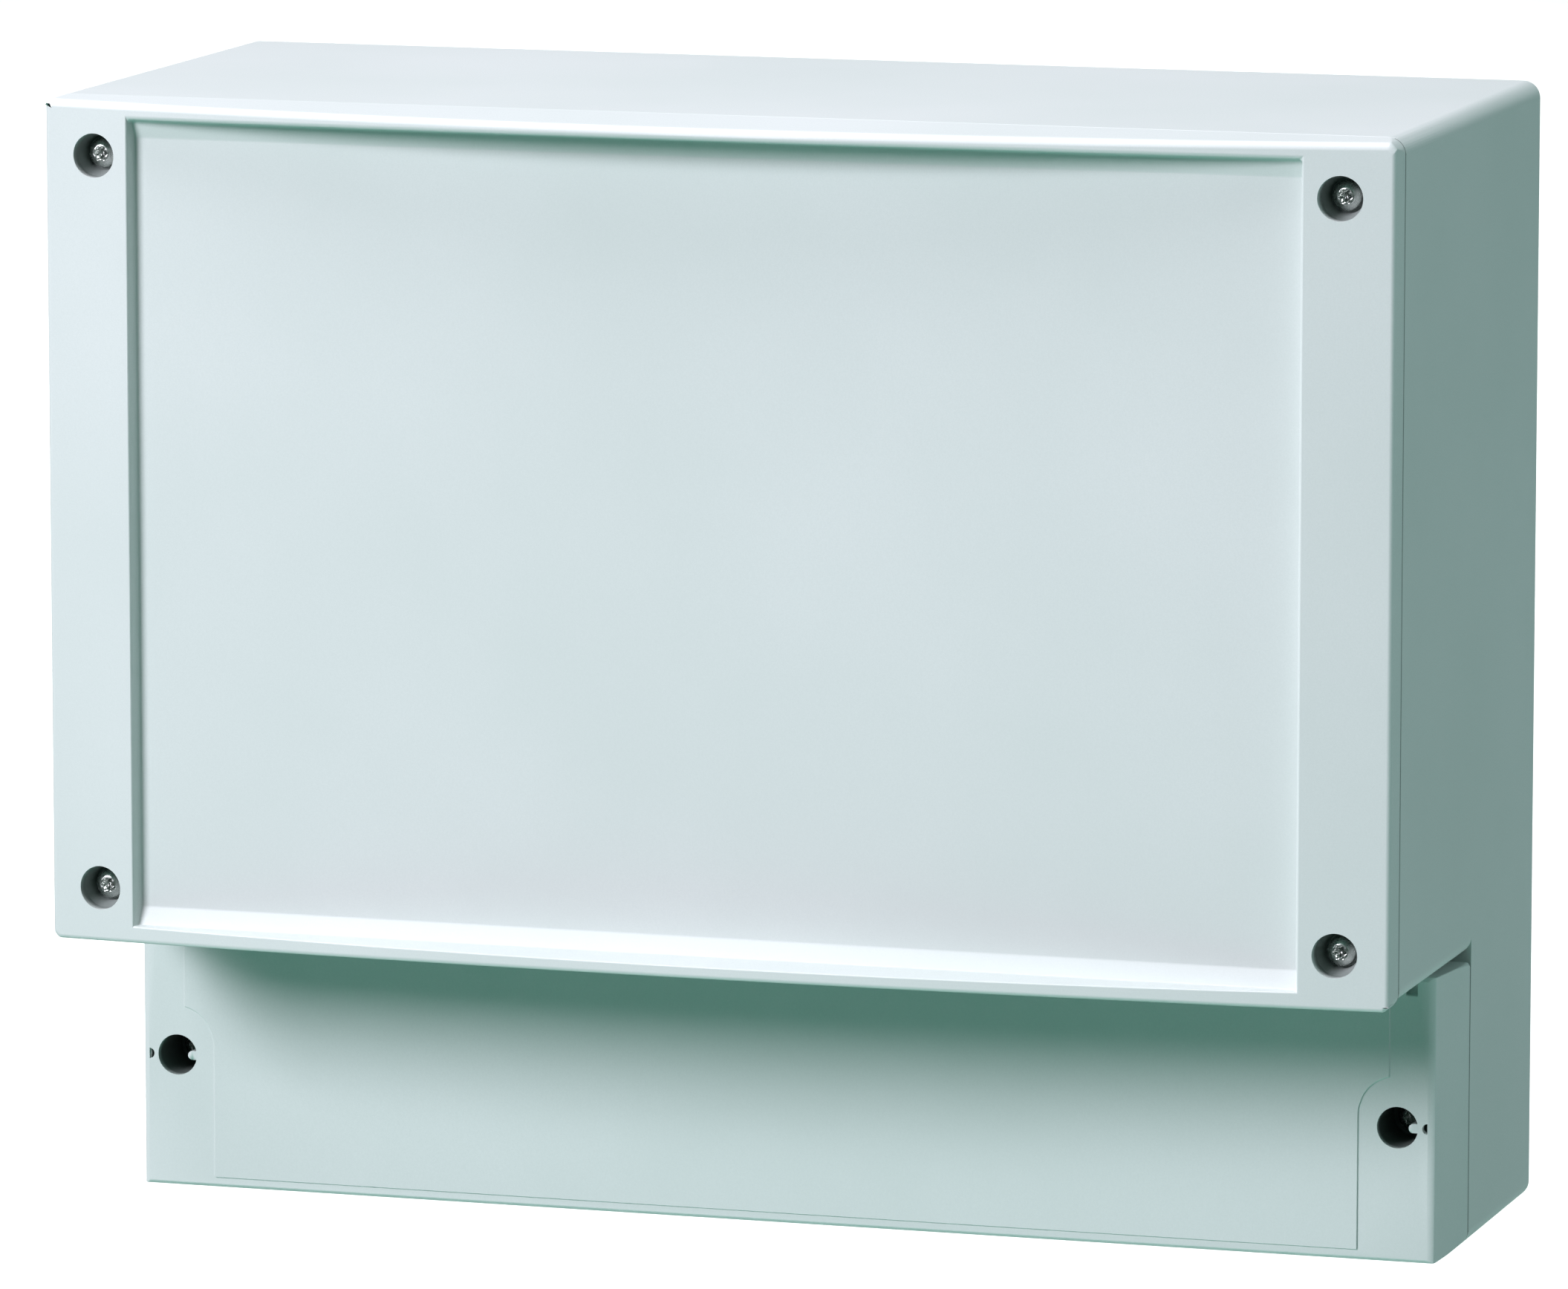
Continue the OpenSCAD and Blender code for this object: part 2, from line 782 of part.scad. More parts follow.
module psu_heatsinks() {
    fin = 1.2;
    color("lightgray")
        for (base = [[-56, 32, 76], [-104, 30, 48]])
            union() {
                block([base[0], base[0] + 3], [-46, psu_board_y], [base[1], base[2]]);
                for (z = [base[1] : 4.4 : base[2] - fin])
                    block([base[0] + 2, base[0] + 11], [-46, psu_board_y - 2], [z, z + fin]);
            }
}

module psu_terminals() {
    color("darkslategray")
        difference() {
            block([-34, -19], [-35, psu_board_y], [72, 104]);
            for (z = [76 : 8 : 100])
                rod(-28, z, 2.4, [-36, -29]);
        }
}

// ---- standby batteries ----

module battery(x) {
    color("dimgray")
        union() {
            translate([x, battery_front_y, battery_low_z])
                cube([battery_w, battery_d, battery_h - 6]);
            translate([x + 0.6, battery_front_y + 0.6, battery_low_z + battery_h - 6.5])
                cube([battery_w - 1.2, battery_d - 1.2, 5]);
            translate([x + 2, battery_front_y + 2, battery_low_z + battery_h - 2])
                cube([battery_w - 4, battery_d - 4, 2]);
        }
}

module battery_left() {
    battery(-battery_in_x - battery_w);
}

module battery_right() {
    battery(battery_in_x);
}

// Push-on tabs, two on each battery
module battery_tabs() {
    color("goldenrod")
        for (side = [-1, 1], reach = [12, battery_w - 12])
            translate([side * (battery_in_x + reach), battery_back_y, battery_top_z])
                union() {
                    block([-4, 4], [-16, -10], [0, 0.8]);
                    block([-3, 3], [-11, -10], [0, 6.8]);
                }
}

module battery_strap() {
    color("silver")
        along_y([battery_front_y - strap_t, battery_front_y])
            difference() {
                round_rect([-strap_post_x - 7, strap_post_x + 7], [strap_z - 7, strap_z + 7], 2, 2);
                for (x = [-strap_post_x, strap_post_x])
                    translate([x, strap_z])
                        circle(1.8);
            }
}

// ---- control board ----

module control_board() {
    color("darkgreen")
        along_y([board_y, board_back_y])
            difference() {
                round_rect([-board_half_w, board_half_w], board_z, 2, 2);
                for (x = pillar_xs, z = pillar_zs)
                    translate([x, z])
                        circle(1.6);
            }
}

// Screws of the control board, the power supply board and the terminal board
module board_screws() {
    color("silver") {
        for (x = pillar_xs, z = pillar_zs)
            screw(x, z, board_y, board_back_y + 6, 2.8, 2, small_shank_r);
        for (x = psu_post_xs, z = psu_post_zs)
            screw(x, z, psu_board_y, psu_board_y + 7, 2.8, 2, small_shank_r);
        for (x = field_post_xs, z = field_post_zs)
            screw(x, z, field_y - board_t, field_y + 6, 2.8, 2, small_shank_r);
    }
}

// Part that stands on the control board: middle x and z, width, height and how far it rises
module on_board(x, z, w, h, rise) {
    block([x - w / 2, x + w / 2], [board_y - rise, board_y], [z - h / 2, z + h / 2]);
}

module board_chips() {
    color("dimgray") {
        on_board(-10, 84, 14, 14, 1.8);
        for (x = [-38, 14, 30])
            on_board(x, 82, 9, 12, 2.2);
        for (x = [60 : 16 : 108])
            on_board(x, 72, 6, 8, 2.4);
    }
}

module output_relays() {
    color("lightsteelblue")
        for (x = [30 : 24 : 102])
            on_board(x, 104, 19, 15.5, 15.5);
}

// Pluggable headers with a wire opening and a clamp well for every way
module board_headers() {
    pitch = 5.08;
    color("seagreen")
        for (group = [[-56, 9], [14, 12]])
            difference() {
                block([group[0], group[0] + group[1] * pitch], [board_y - 12, board_y], [15, 27]);
                for (way = [0 : group[1] - 1]) {
                    x = group[0] + (way + 0.5) * pitch;
                    block([x - 1.6, x + 1.6], [board_y - 6, board_y - 2.5], [14, 20]);
                    rod(x, 23, 1.5, [board_y - 13, board_y - 9]);
                }
            }
}

module board_capacitors() {
    color("midnightblue")
        for (at = [[134, 78], [134, 94], [118, 86]])
            rod(at[0], at[1], 6.3, [board_y - 18, board_y]);
}

module sounder() {
    color("dimgray")
        difference() {
            rod(-118, 98, 12, [board_y - 10, board_y]);
            rod(-118, 98, 1.6, [board_y - 11, board_y - 8]);
        }
}

// Round lamp that stands on the control board
module led(x, z) {
    union() {
        rod(x, z, led_r + 0.4, [board_y - 1.2, board_y]);
        rod(x, z, led_r, [board_y - 6, board_y]);
        translate([x, board_y - 6, z])
            sphere(led_r);
    }
}

module fire_leds() {
    color("firebrick")
        for (i = [0 : 7])
            led(led_x + i * led_pitch, led_z);
}

module fault_leds() {
    color("orange")
        for (i = [8 : 10])
            led(led_x + i * led_pitch, led_z);
}

module power_led() {
    color("limegreen")
        led(led_x + 11 * led_pitch, led_z);
}

module fuse_clips() {
    color("lightgray")
        for (z = fuse_zs, x = [fuse_x[0] + 1, fuse_x[1] - 5])
            difference() {
                block([x, x + 4], [board_y - 8, board_y], [z - 3.6, z + 3.6]);
                cross_rod(fuse_y, z, fuse_r, [x - cut, x + 4 + cut]);
                block([x - cut, x + 4 + cut], [board_y - 9, fuse_y], [z - 2, z + 2]);
            }
}

module board_fuses() {
    color("lightcyan")
        for (z = fuse_zs)
            cross_rod(fuse_y, z, fuse_r, fuse_x);
}

// ---- push buttons ----

module button_bases() {
    color("dimgray")
        for (x = button_xs)
            difference() {
                on_board(x, button_z, 12, 12, button_base_h);
                rod(x, button_z, button_bore_r, [board_y - button_base_h - cut, board_y - 1.2]);
            }
}

module button_cap(x) {
    face_y = board_y - button_base_h;
    union() {
        rod(x, button_z, button_stem_r, [face_y - button_gap - 1, face_y + 3 - button_travel - 0.5]);
        rod(x, button_z, 5.5, [face_y - button_gap - 7, face_y - button_gap]);
        cone(x, button_z, 4.8, 5.5, [face_y - button_gap - 7.8, face_y - button_gap - 7]);
    }
}

module evacuate_button() {
    color("firebrick")
        button_cap(button_xs[0]);
}

module silence_button() {
    color("goldenrod")
        button_cap(button_xs[1]);
}

module reset_button() {
    color("seagreen")
        button_cap(button_xs[2]);
}

module test_button() {
    color("slategray")
        button_cap(button_xs[3]);
}

// ---- key switch ----

module key_switch_body() {
    color("silver")
        difference() {
            union() {
                rod(key_x, key_z, 9.5, [board_y - key_body_h, board_y]);
                rod(key_x, key_z, 11.5, [board_y - key_body_h, board_y - key_body_h + 3]);
            }
            rod(key_x, key_z, key_bore_r, [board_y - key_body_h - cut, board_y - 5]);
        }
}

module key_barrel() {
    color("lightgray")
        difference() {
            rod(key_x, key_z, key_barrel_r, [board_y - key_body_h - 1, board_y - 5.5]);
            block([key_x - 1.2, key_x + 1.2], [board_y - key_body_h - 2, board_y - key_body_h + 14],
                  [key_z - 4, key_z + 4]);
        }
}

module key() {
    bow_y = board_y - key_body_h - 14;
    color("silver")
        difference() {
            union() {
                block([key_x - 1.2, key_x + 1.2], [bow_y, board_y - key_body_h + 14], [key_z - 4, key_z + 4]);
                cross_rod(bow_y, key_z, 10, [key_x - 1.2, key_x + 1.2]);
            }
            cross_rod(bow_y - 3, key_z, 3, [key_x - 2, key_x + 2]);
        }
}

// ---- lid switch ----

module tamper_body() {
    color("dimgray")
        difference() {
            block([tamper_x - 10, tamper_x + 10], [tamper_shelf_y - tamper_body_d, tamper_shelf_y],
                  [tamper_z - 5, tamper_z + 5]);
            rod(tamper_x, tamper_z, plunger_r + 0.05,
                [tamper_shelf_y - tamper_body_d - cut, tamper_shelf_y - 2]);
        }
}

module tamper_plunger() {
    color("firebrick")
        union() {
            rod(tamper_x, tamper_z, plunger_r, [lid_inner_y + 1.2, tamper_shelf_y - 4]);
            translate([tamper_x, lid_inner_y + 0.3 + plunger_r, tamper_z])
                sphere(plunger_r);
        }
}

// ---- terminal compartment ----

module field_board() {
    color("darkgreen")
        along_y([field_y - board_t, field_y])
            difference() {
                round_rect(field_x, field_z, 1, 1);
                for (x = field_post_xs, z = field_post_zs)
                    translate([x, z])
                        circle(1.6);
            }
}

// Two-way terminal blocks in a row, each way with a clamp well and a wire opening
module field_terminals() {
    color("seagreen")
        for (i = [0 : field_block_n - 1])
            difference() {
                block([field_block_x + i * field_block_w, field_block_x + (i + 1) * field_block_w - 0.2],
                      [field_front_y - field_block_h, field_front_y], [-113, -93]);
                for (x = [field_way_xs[2 * i], field_way_xs[2 * i + 1]]) {
                    rod(x, field_screw_z, 3, [field_front_y - field_block_h - cut, field_front_y - 9]);
                    block([x - 1.9, x + 1.9], [field_front_y - 8, field_front_y - 4.2], [-114, -104]);
                }
            }
}

module clamp_screws() {
    head_y = field_front_y - 13;
    slot_w = 0.8;
    color("silver")
        for (x = field_way_xs)
            difference() {
                rod(x, field_screw_z, 2.9, [head_y, field_front_y - 9]);
                block([x - 3, x + 3], [head_y - 1, head_y + 1],
                      [field_screw_z - slot_w / 2, field_screw_z + slot_w / 2]);
            }
}

// Mains inlet block with two clamp wells and the ears of the fuse carrier
module mains_terminal() {
    ear_t = 1.7;
    gap = 0.3;
    color("ivory")
        union() {
            difference() {
                block(mains_x, mains_y, mains_z);
                for (x = [-124, -108]) {
                    rod(x, -92, 4, [mains_y[0] - cut, mains_y[0] + 10]);
                    block([x - 1.9, x + 1.9], [mains_y[0] + 12, mains_y[0] + 15.8],
                          [mains_z[0] - 1, mains_z[0] + 14]);
                }
            }
            for (x = [carrier_x[0] - gap - ear_t, carrier_x[1] + gap])
                union() {
                    block([x, x + ear_t], [pivot_y, mains_y[0] + 1], [pivot_z - 3, pivot_z + 3]);
                    cross_rod(pivot_y, pivot_z, 3, [x, x + ear_t]);
                }
            cross_rod(pivot_y, pivot_z, pivot_r, [carrier_x[0] - gap - 1, carrier_x[1] + gap + 1]);
        }
}

// Swing-out carrier that turns on the block's pin
module mains_fuse_carrier() {
    r = 3.6;
    color("dimgray")
        difference() {
            union() {
                cross_rod(pivot_y, pivot_z, r, carrier_x);
                block(carrier_x, [pivot_y - r, pivot_y + r], [pivot_z, mains_z[1] - 1]);
                block([carrier_x[0] + 3, carrier_x[1] - 3], [pivot_y - r - 4, pivot_y],
                      [mains_z[1] - 6, mains_z[1] - 1]);
            }
            cross_rod(pivot_y, pivot_z, pivot_bore_r, [carrier_x[0] - cut, carrier_x[1] + cut]);
            mains_fuse_rod();
            block([carrier_mid_x - mains_fuse_r, carrier_mid_x + mains_fuse_r],
                  [pivot_y + 1, pivot_y + r + cut], [mains_fuse_z, mains_fuse_z + mains_fuse_l]);
        }
}

module mains_fuse_rod() {
    translate([carrier_mid_x, pivot_y + 1, mains_fuse_z])
        cylinder(r = mains_fuse_r, h = mains_fuse_l);
}

module mains_fuse() {
    color("lightcyan")
        mains_fuse_rod();
}

module earth_bar() {
    color("goldenrod")
        difference() {
            block(earth_x, earth_y, earth_z);
            for (x = earth_screw_xs)
                rod(x, earth_mid_z, small_hole_r, [earth_y[0] - cut, earth_y[1] - 1.5]);
        }
}

module earth_screws() {
    color("silver")
        for (x = earth_screw_xs)
            screw(x, earth_mid_z, earth_y[0], earth_y[0] + 4, 2.8, 2, small_shank_r);
}

// ---- build ----

back_shell();
upper_lid();
terminal_cover();
lid_gasket();
cover_gasket();
lid_screw(-1, 0);  // lid_screw_top_left
lid_screw(1, 0);  // lid_screw_top_right
lid_screw(-1, 1);  // lid_screw_low_left
lid_screw(1, 1);  // lid_screw_low_right
cover_screw(-1);  // cover_screw_left
cover_screw(1);  // cover_screw_right
lid_screw_rings();
cover_screw_rings();
thread_inserts();
entry_grommets();
pass_grommets();
gear_plate();
plate_screws();
board_pillars();
board_screws();
psu_tray();
psu_board();
psu_core();
psu_winding();
psu_capacitors();
psu_heatsinks();
psu_terminals();
battery_left();
battery_right();
battery_tabs();
battery_strap();
control_board();
board_chips();
output_relays();
board_headers();
board_capacitors();
sounder();
fire_leds();
fault_leds();
power_led();
fuse_clips();
board_fuses();
button_bases();
evacuate_button();
silence_button();
reset_button();
test_button();
key_switch_body();
key_barrel();
key();
tamper_body();
tamper_plunger();
field_board();
field_terminals();
clamp_screws();
mains_terminal();
mains_fuse_carrier();
mains_fuse();
earth_bar();
earth_screws();
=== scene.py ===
"""Fire alarm control panel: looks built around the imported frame. Metres, in the frame's own axes."""

import json
import math

import bmesh
import bpy
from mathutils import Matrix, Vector


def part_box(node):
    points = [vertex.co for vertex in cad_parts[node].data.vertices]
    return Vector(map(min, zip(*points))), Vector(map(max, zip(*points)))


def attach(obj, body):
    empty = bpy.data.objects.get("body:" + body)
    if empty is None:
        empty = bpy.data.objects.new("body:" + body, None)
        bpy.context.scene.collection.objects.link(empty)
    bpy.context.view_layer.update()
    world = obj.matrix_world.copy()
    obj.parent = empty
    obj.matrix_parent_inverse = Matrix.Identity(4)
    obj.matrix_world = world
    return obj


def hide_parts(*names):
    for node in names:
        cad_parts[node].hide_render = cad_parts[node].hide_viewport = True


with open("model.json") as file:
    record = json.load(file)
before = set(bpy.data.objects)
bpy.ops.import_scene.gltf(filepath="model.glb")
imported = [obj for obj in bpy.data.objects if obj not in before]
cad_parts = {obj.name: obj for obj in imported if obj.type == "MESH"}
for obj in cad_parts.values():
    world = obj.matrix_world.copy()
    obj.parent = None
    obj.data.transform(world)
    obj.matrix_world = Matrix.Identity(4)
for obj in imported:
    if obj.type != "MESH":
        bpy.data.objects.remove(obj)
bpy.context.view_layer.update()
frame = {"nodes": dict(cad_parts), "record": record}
MM = 0.001


# ---- places worked out from the frame ----

def middle(box):
    """Middle of a box given by its lowest and highest corner."""
    low, high = box
    return (low + high) / 2


shell_lo, shell_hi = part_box("back_shell")
lid_lo, lid_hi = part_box("upper_lid")
cover_lo, cover_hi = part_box("terminal_cover")
GASKET_IN = 0.8 * MM                        # from a parting plane back to its gasket
PART_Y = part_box("lid_gasket")[0].y - GASKET_IN      # plane where lid and shell meet
RIM_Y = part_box("cover_gasket")[0].y - GASKET_IN     # plane where cover and shell meet
LID_EDGE_Y = PART_Y - 8.4 * MM              # front of the lid at its side edges
LID_DROP = 1.0 * MM                         # how far the lid hangs below the shell
CORNER_R = 4.5 * MM                         # radius of the long edges
LID_SCREW = middle(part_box("lid_screw_top_right"))
LID_SCREW_LOW = middle(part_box("lid_screw_low_right"))
COVER_SCREW = middle(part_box("cover_screw_right"))
POCKET_X = 176.6 * MM                       # half-moon pockets beside the cover's screw holes
LID_HOLE_MOUTH_Y = PART_Y - 10.2 * MM
# Where painted shade darkens the screw holes and the pockets beside them, on both sides: x, z, radius,
# y of the mouth, strength
PAINTED_SHADE_HOLES = (
    (LID_SCREW.x, LID_SCREW.z, 6.0 * MM, LID_HOLE_MOUTH_Y, 0.5),
    (LID_SCREW_LOW.x, LID_SCREW_LOW.z, 6.0 * MM, LID_HOLE_MOUTH_Y, 0.5),
    (COVER_SCREW.x, COVER_SCREW.z, 5.7 * MM, cover_lo.y, 0.8),
    (POCKET_X, COVER_SCREW.z, 1.5 * MM, cover_lo.y + 1.5 * MM, 2.6),
)


# ---- material kit ----

def srgb(r, g, b):
    """Linear colour of an sRGB colour given from 0 to 255."""
    def linear(v):
        v /= 255
        return v / 12.92 if v <= 0.04045 else ((v + 0.055) / 1.055) ** 2.4
    return (linear(r), linear(g), linear(b), 1.0)


def shade(colour, factor):
    """The same colour, darker or lighter."""
    return tuple(c * factor for c in colour[:3]) + (1.0,)


class Nodes:
    """Short hand for building one material's node tree."""

    def __init__(self, name):
        self.material = bpy.data.materials.new(name)
        self.material.use_nodes = True
        self.tree = self.material.node_tree
        self.shader = self.tree.nodes["Principled BSDF"]
        self.position = self.add("ShaderNodeTexCoord").outputs["Object"]

    def add(self, kind, **values):
        """A new node with some of its properties set."""
        node = self.tree.nodes.new(kind)
        for name, value in values.items():
            setattr(node, name, value)
        return node

    def link(self, output, target):
        """Joins a node's output to an input."""
        self.tree.links.new(output, target)

    def noise(self, scale, detail=2.0, roughness=0.5, stretch=(1, 1, 1)):
        """Cloudy noise, mostly between 0.3 and 0.7."""
        mapping = self.add("ShaderNodeMapping")
        mapping.inputs["Scale"].default_value = stretch
        self.link(self.position, mapping.inputs["Vector"])
        texture = self.add("ShaderNodeTexNoise")
        texture.inputs["Scale"].default_value = scale
        texture.inputs["Detail"].default_value = detail
        texture.inputs["Roughness"].default_value = roughness
        self.link(mapping.outputs["Vector"], texture.inputs["Vector"])
        return texture.outputs["Fac"]

    def voronoi(self, scale, stretch=(1, 1, 1)):
        """Distance to the nearest of many scattered points."""
        mapping = self.add("ShaderNodeMapping")
        mapping.inputs["Scale"].default_value = stretch
        self.link(self.position, mapping.inputs["Vector"])
        texture = self.add("ShaderNodeTexVoronoi", feature="F1")
        texture.inputs["Scale"].default_value = scale
        self.link(mapping.outputs["Vector"], texture.inputs["Vector"])
        return texture.outputs["Distance"]

    def math(self, operation, *terms):
        """One arithmetic step on numbers or other nodes' outputs."""
        node = self.add("ShaderNodeMath", operation=operation)
        for socket, value in zip(node.inputs, terms):
            if isinstance(value, (int, float)):
                socket.default_value = value
            else:
                self.link(value, socket)
        return node.outputs["Value"]

    def spread(self, fac, low, high, from_low=0.3, from_high=0.7):
        """Stretches a value's useful range to run from low to high, and cuts it off there."""
        node = self.add("ShaderNodeMapRange")
        ends = {"From Min": from_low, "From Max": from_high, "To Min": low, "To Max": high}
        for name, value in ends.items():
            node.inputs[name].default_value = value
        self.link(fac, node.inputs["Value"])
        return node.outputs["Result"]

    def mix(self, fac, a, b):
        """Colour a at 0, colour b at 1."""
        node = self.add("ShaderNodeMix", data_type="RGBA")
        self.link(fac, node.inputs[0])
        for socket, value in ((node.inputs[6], a), (node.inputs[7], b)):
            if isinstance(value, tuple):
                socket.default_value = value
            else:
                self.link(value, socket)
        return node.outputs[2]

    def bump(self, height, strength, distance):
        """Raises and lowers the surface by a node's output, by up to distance in metres."""
        node = self.add("ShaderNodeBump")
        node.inputs["Strength"].default_value = strength
        node.inputs["Distance"].default_value = distance
        self.link(height, node.inputs["Height"])
        self.link(node.outputs["Normal"], self.shader.inputs["Normal"])

    def base(self, value):
        """Takes the base colour from a node's output."""
        self.link(value, self.shader.inputs["Base Color"])

    def rough(self, value):
        """Takes the roughness from a node's output."""
        self.link(value, self.shader.inputs["Roughness"])

    def put(self, **values):
        """Sets uniform values on the shader; an underscore stands for a space."""
        for name, value in values.items():
            self.shader.inputs[name.replace("_", " ")].default_value = value


# ---- mesh kit ----

def add_piece(name, bm, material, body, replaced):
    """Turns a bmesh into a smooth-shaded piece that rides on a body and stands for CAD nodes."""
    mesh = bpy.data.meshes.new(name)
    bm.to_mesh(mesh)
    bm.free()
    for polygon in mesh.polygons:
        polygon.use_smooth = True
    mesh.materials.append(material)
    piece = bpy.data.objects.new(name, mesh)
    bpy.context.scene.collection.objects.link(piece)
    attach(piece, body)
    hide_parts(*replaced)
    return piece


def welded(node):
    """A CAD node as one bmesh whose faces share their corners."""
    bm = bmesh.new()
    bm.from_mesh(frame["nodes"][node].data)
    bmesh.ops.remove_doubles(bm, verts=bm.verts, dist=0.0005 * MM)
    bmesh.ops.dissolve_degenerate(bm, dist=0.004 * MM, edges=bm.edges)
    bmesh.ops.recalc_face_normals(bm, faces=bm.faces)
    return bm


def sliver(face):
    """True for a face too thin for its normal to mean anything."""
    thinnest = 0.01 * MM
    return face.calc_area() < thinnest * max(edge.calc_length() for edge in face.edges)


def is_hard(edge, hard):
    """True where two real faces meet at more than some degrees."""
    if len(edge.link_faces) != 2 or any(map(sliver, edge.link_faces)):
        return False
    return edge.calc_face_angle(0) > math.radians(hard)


def round_edges(piece, radius_of, widest, segments=3, hard=24):
    """Rounds the hard edges: radius_of(place) gives each one's radius, and 0 leaves it sharp."""
    bm = bmesh.new()
    bm.from_mesh(piece.data)
    weight = bm.edges.layers.float.new("bevel_weight_edge")
    for edge in bm.edges:
        if is_hard(edge, hard):
            place = (edge.verts[0].co + edge.verts[1].co) / 2
            edge[weight] = min(1.0, radius_of(place) / widest)
            edge.smooth = edge[weight] > 0
    bm.to_mesh(piece.data)
    bm.free()
    bevel = piece.modifiers.new("round_edges", "BEVEL")
    bevel.limit_method = "WEIGHT"
    bevel.width = widest
    bevel.segments = segments
    bevel.use_clamp_overlap = False
    bevel.face_strength_mode = "FSTR_ALL"
    normals = piece.modifiers.new("even_normals", "WEIGHTED_NORMAL")
    normals.keep_sharp = True
    normals.use_face_influence = True
    normals.weight = 90


# ---- materials ----

def painted_shade_mask(m):
    """Painted shade: 1 deep in the screw holes and pockets and on the strip in front of each joint,
    standing in for the shadow in the holes and grooves, 0 on open faces.
    """
    strip_half = 0.38 * MM
    strip_in = 0.42 * MM
    place = m.add("ShaderNodeSeparateXYZ")
    m.link(m.position, place.inputs["Vector"])
    across = m.math("ABSOLUTE", place.outputs["X"])
    painted_shade = 0
    # Painted shade deep in each screw hole and pocket, growing from the mouth inwards
    for x, z, radius, mouth_y, strength in PAINTED_SHADE_HOLES:
        sideways = m.math("POWER", m.math("SUBTRACT", across, x), 2)
        upwards = m.math("POWER", m.math("SUBTRACT", place.outputs["Z"], z), 2)
        inside = m.math("LESS_THAN", m.math("ADD", sideways, upwards), radius * radius)
        depth = m.spread(place.outputs["Y"], 0.0, strength, mouth_y + 0.4 * MM, mouth_y + 3.0 * MM)
        painted_shade = m.math("ADD", painted_shade, m.math("MULTIPLY", inside, depth))
    # Painted shade on a thin strip in front of each joint, standing in for the shadow in the groove
    for seam_y, top_z in ((PART_Y, lid_hi.z), (RIM_Y, cover_hi.z)):
        off = m.math("ABSOLUTE", m.math("SUBTRACT", place.outputs["Y"], seam_y - strip_in))
        joint = m.math("MULTIPLY", m.math("LESS_THAN", off, strip_half),
                       m.math("LESS_THAN", place.outputs["Z"], top_z - 0.3 * MM))
        painted_shade = m.math("ADD", painted_shade, m.math("MULTIPLY", joint, 0.7))
    return painted_shade


def enclosure_plastic():
    """Light grey moulding: fine spark texture, faint flow variation, painted shade in its holes,
    pockets and joints.
    """
    m = Nodes("enclosure_plastic")
    grain = m.noise(2600, 3.0, 0.6)
    flow = m.noise(9, 3.0, 0.55)
    cloud = m.spread(flow, 0.0, 1.0)
    tone = m.mix(cloud, srgb(194, 203, 200), srgb(201, 208, 206))
    grained = m.mix(m.spread(grain, 0.0, 0.35), tone, srgb(186, 195, 192))
    # Near-black green painted in by the mask, as shade in the holes, pockets and joint grooves
    m.base(m.mix(painted_shade_mask(m), grained, srgb(16, 36, 30)))
    m.rough(m.spread(grain, 0.42, 0.58))
    m.put(IOR=1.49, Specular_IOR_Level=0.42)
    m.bump(grain, 0.10, 0.00012)
    return m.material


def screw_steel():
    """Bright zinc plating with fine turning marks."""
    m = Nodes("screw_steel")
    marks = m.noise(900, 2.0, 0.6)
    blotch = m.noise(420, 2.0, 0.5)
    m.base(m.mix(m.spread(blotch, 0.0, 1.0), srgb(186, 192, 188), srgb(222, 226, 222)))
    m.rough(m.spread(marks, 0.18, 0.36))
    m.put(Metallic=1.0)
    m.bump(marks, 0.15, 0.00004)
    return m.material


def plate_steel():
    """Zinc-plated sheet with a crystalline spangle."""
    m = Nodes("plate_steel")
    cells = m.voronoi(230, stretch=(1, 1, 1.4))
    brushed = m.noise(60, 2.0, 0.5, (1, 1, 40))
    m.base(m.mix(m.spread(cells, 0.0, 1.0, 0.1, 0.8), srgb(158, 162, 164), srgb(186, 189, 190)))
    m.rough(m.spread(brushed, 0.28, 0.46))
    m.put(Metallic=1.0)
    m.bump(brushed, 0.12, 0.0001)
    return m.material


def turned_metal(name, dark, light, rough_low, rough_high):
    """Bare metal with turning or extrusion marks."""
    m = Nodes(name)
    marks = m.noise(140, 3.0, 0.6, (1, 12, 1))
    m.base(m.mix(m.spread(marks, 0.0, 1.0), dark, light))
    m.rough(m.spread(marks, rough_low, rough_high))
    m.put(Metallic=1.0)
    m.bump(marks, 0.1, 0.00008)
    return m.material


def moulded(name, colour, rough_low, rough_high, grain_scale=1500, depth=0.00008):
    """Moulded part: one colour with faint clouds and a fine surface grain."""
    m = Nodes(name)
    grain = m.noise(grain_scale, 3.0, 0.6)
    cloud = m.noise(45, 2.0, 0.5)
    m.base(m.mix(m.spread(cloud, 0.0, 1.0), shade(colour, 0.86), shade(colour, 1.1)))
    m.rough(m.spread(grain, rough_low, rough_high))
    m.bump(grain, 0.2, depth)
    return m.material


def rubber():
    """Black rubber with fine pores."""
    m = Nodes("rubber")
    pores = m.voronoi(1400)
    m.base(m.mix(m.spread(pores, 0.0, 1.0, 0.0, 0.6), srgb(24, 25, 26), srgb(46, 48, 49)))
    m.rough(m.spread(pores, 0.6, 0.85, 0.0, 0.6))
    m.bump(pores, 0.4, 0.0002)
    return m.material


